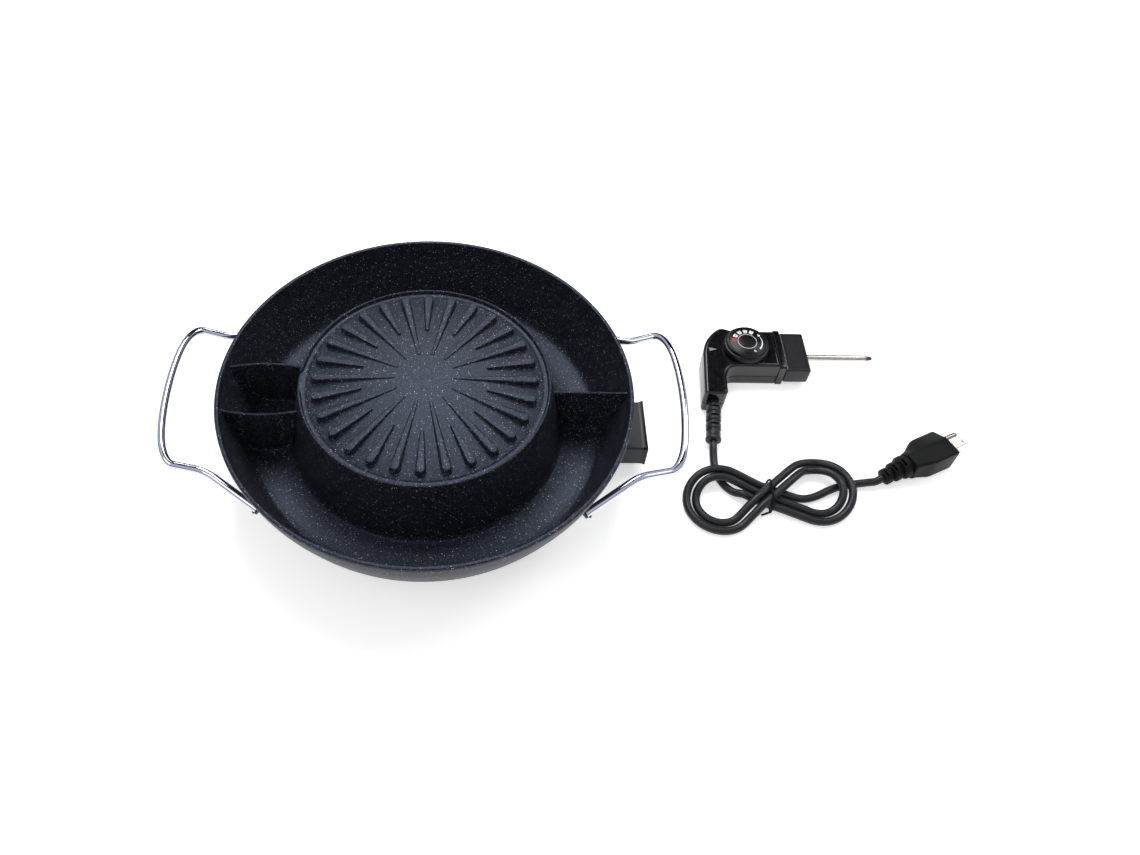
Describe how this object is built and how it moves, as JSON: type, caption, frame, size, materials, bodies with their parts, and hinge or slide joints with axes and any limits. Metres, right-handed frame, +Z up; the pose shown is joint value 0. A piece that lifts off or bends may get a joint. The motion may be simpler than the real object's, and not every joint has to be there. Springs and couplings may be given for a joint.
{
  "type": "electric hot pot grill pan",
  "caption": "Round electric pan with a soup moat around a raised ribbed grill plate, wire handles, and a loose temperature control with probe, dial, cord and plug.",
  "frame": {"origin": "centre of the underside of the box around the pan and the control, without the cord, on the table", "axes": "+X from the pan towards the control, +Y away from the cook, +Z up"},
  "size_m": [0.7199, 0.3594, 0.0962],
  "materials": {
    "non_stick": "speckled non-stick coating",
    "chrome": "bright chrome plate",
    "phenolic": "moulded, matt",
    "black_case": "moulded, glossy",
    "stainless": "drawn tube, satin",
    "zinc_steel": "zinc plated",
    "sheath": "oxidised tube",
    "brass": "turned and pressed",
    "nickel": "nickel plate",
    "ceramic": "fired steatite",
    "cord_vinyl": "extruded, satin",
    "plug_vinyl": "moulded, matt",
    "wire_white": "insulated wire",
    "wire_red": "insulated wire",
    "wire_green": "insulated wire"
  },
  "bodies": {
    "pan": {"pan_casting": "non_stick", "handle_left": "chrome", "handle_right": "chrome", "handle_set_screw_1": "zinc_steel", "handle_set_screw_2": "zinc_steel", "handle_set_screw_3": "zinc_steel", "handle_set_screw_4": "zinc_steel", "foot_rear_right": "phenolic", "foot_rear_left": "phenolic", "foot_front_left": "phenolic", "foot_front_right": "phenolic", "foot_screw_1": "zinc_steel", "foot_screw_2": "zinc_steel", "foot_screw_3": "zinc_steel", "foot_screw_4": "zinc_steel", "heating_element": "sheath", "heat_shield": "zinc_steel", "shield_screw_1": "zinc_steel", "shield_screw_2": "zinc_steel", "shield_screw_3": "zinc_steel", "shield_screw_4": "zinc_steel", "terminal_housing": "phenolic", "housing_screw_1": "zinc_steel", "housing_screw_2": "zinc_steel", "terminal_pin_1": "nickel", "terminal_pin_2": "nickel", "pin_insulator_1": "ceramic", "pin_insulator_2": "ceramic", "probe_guide_tube": "stainless"},
    "control": {"case_lower": "black_case", "case_upper": "black_case", "case_screw_1": "zinc_steel", "case_screw_2": "zinc_steel", "case_screw_3": "zinc_steel", "terminal_head": "black_case", "contact_clip_live": "brass", "contact_clip_neutral": "brass", "earth_ring": "nickel", "probe_tube": "stainless", "expansion_rod": "zinc_steel", "probe_nut": "brass", "thermostat_base": "ceramic", "thermostat_arm": "brass", "strain_relief": "cord_vinyl", "wire_neutral": "wire_white", "wire_live_in": "wire_red", "wire_live_out": "wire_red", "wire_earth": "wire_green", "cord_lead": "cord_vinyl", "cord_hank": "cord_vinyl", "cord_tail": "cord_vinyl", "cord_tie": "plug_vinyl", "plug_body": "plug_vinyl", "plug_blade_1": "nickel", "plug_blade_2": "nickel", "plug_ground_pin": "nickel"},
    "dial": {"dial": "black_case", "cam_spindle": "brass"}
  },
  "joints": [
    {"name": "control_lift", "type": "slide", "parent": "pan", "child": "control", "axis": [0, 0, 1], "range_m": [0, 0.15]},
    {"name": "dial_turn", "type": "hinge", "parent": "control", "child": "dial", "pos_m": [0.2026, 0.098, 0.03], "axis": [0, 0, 1], "range_deg": [0, 256]}
  ]
}
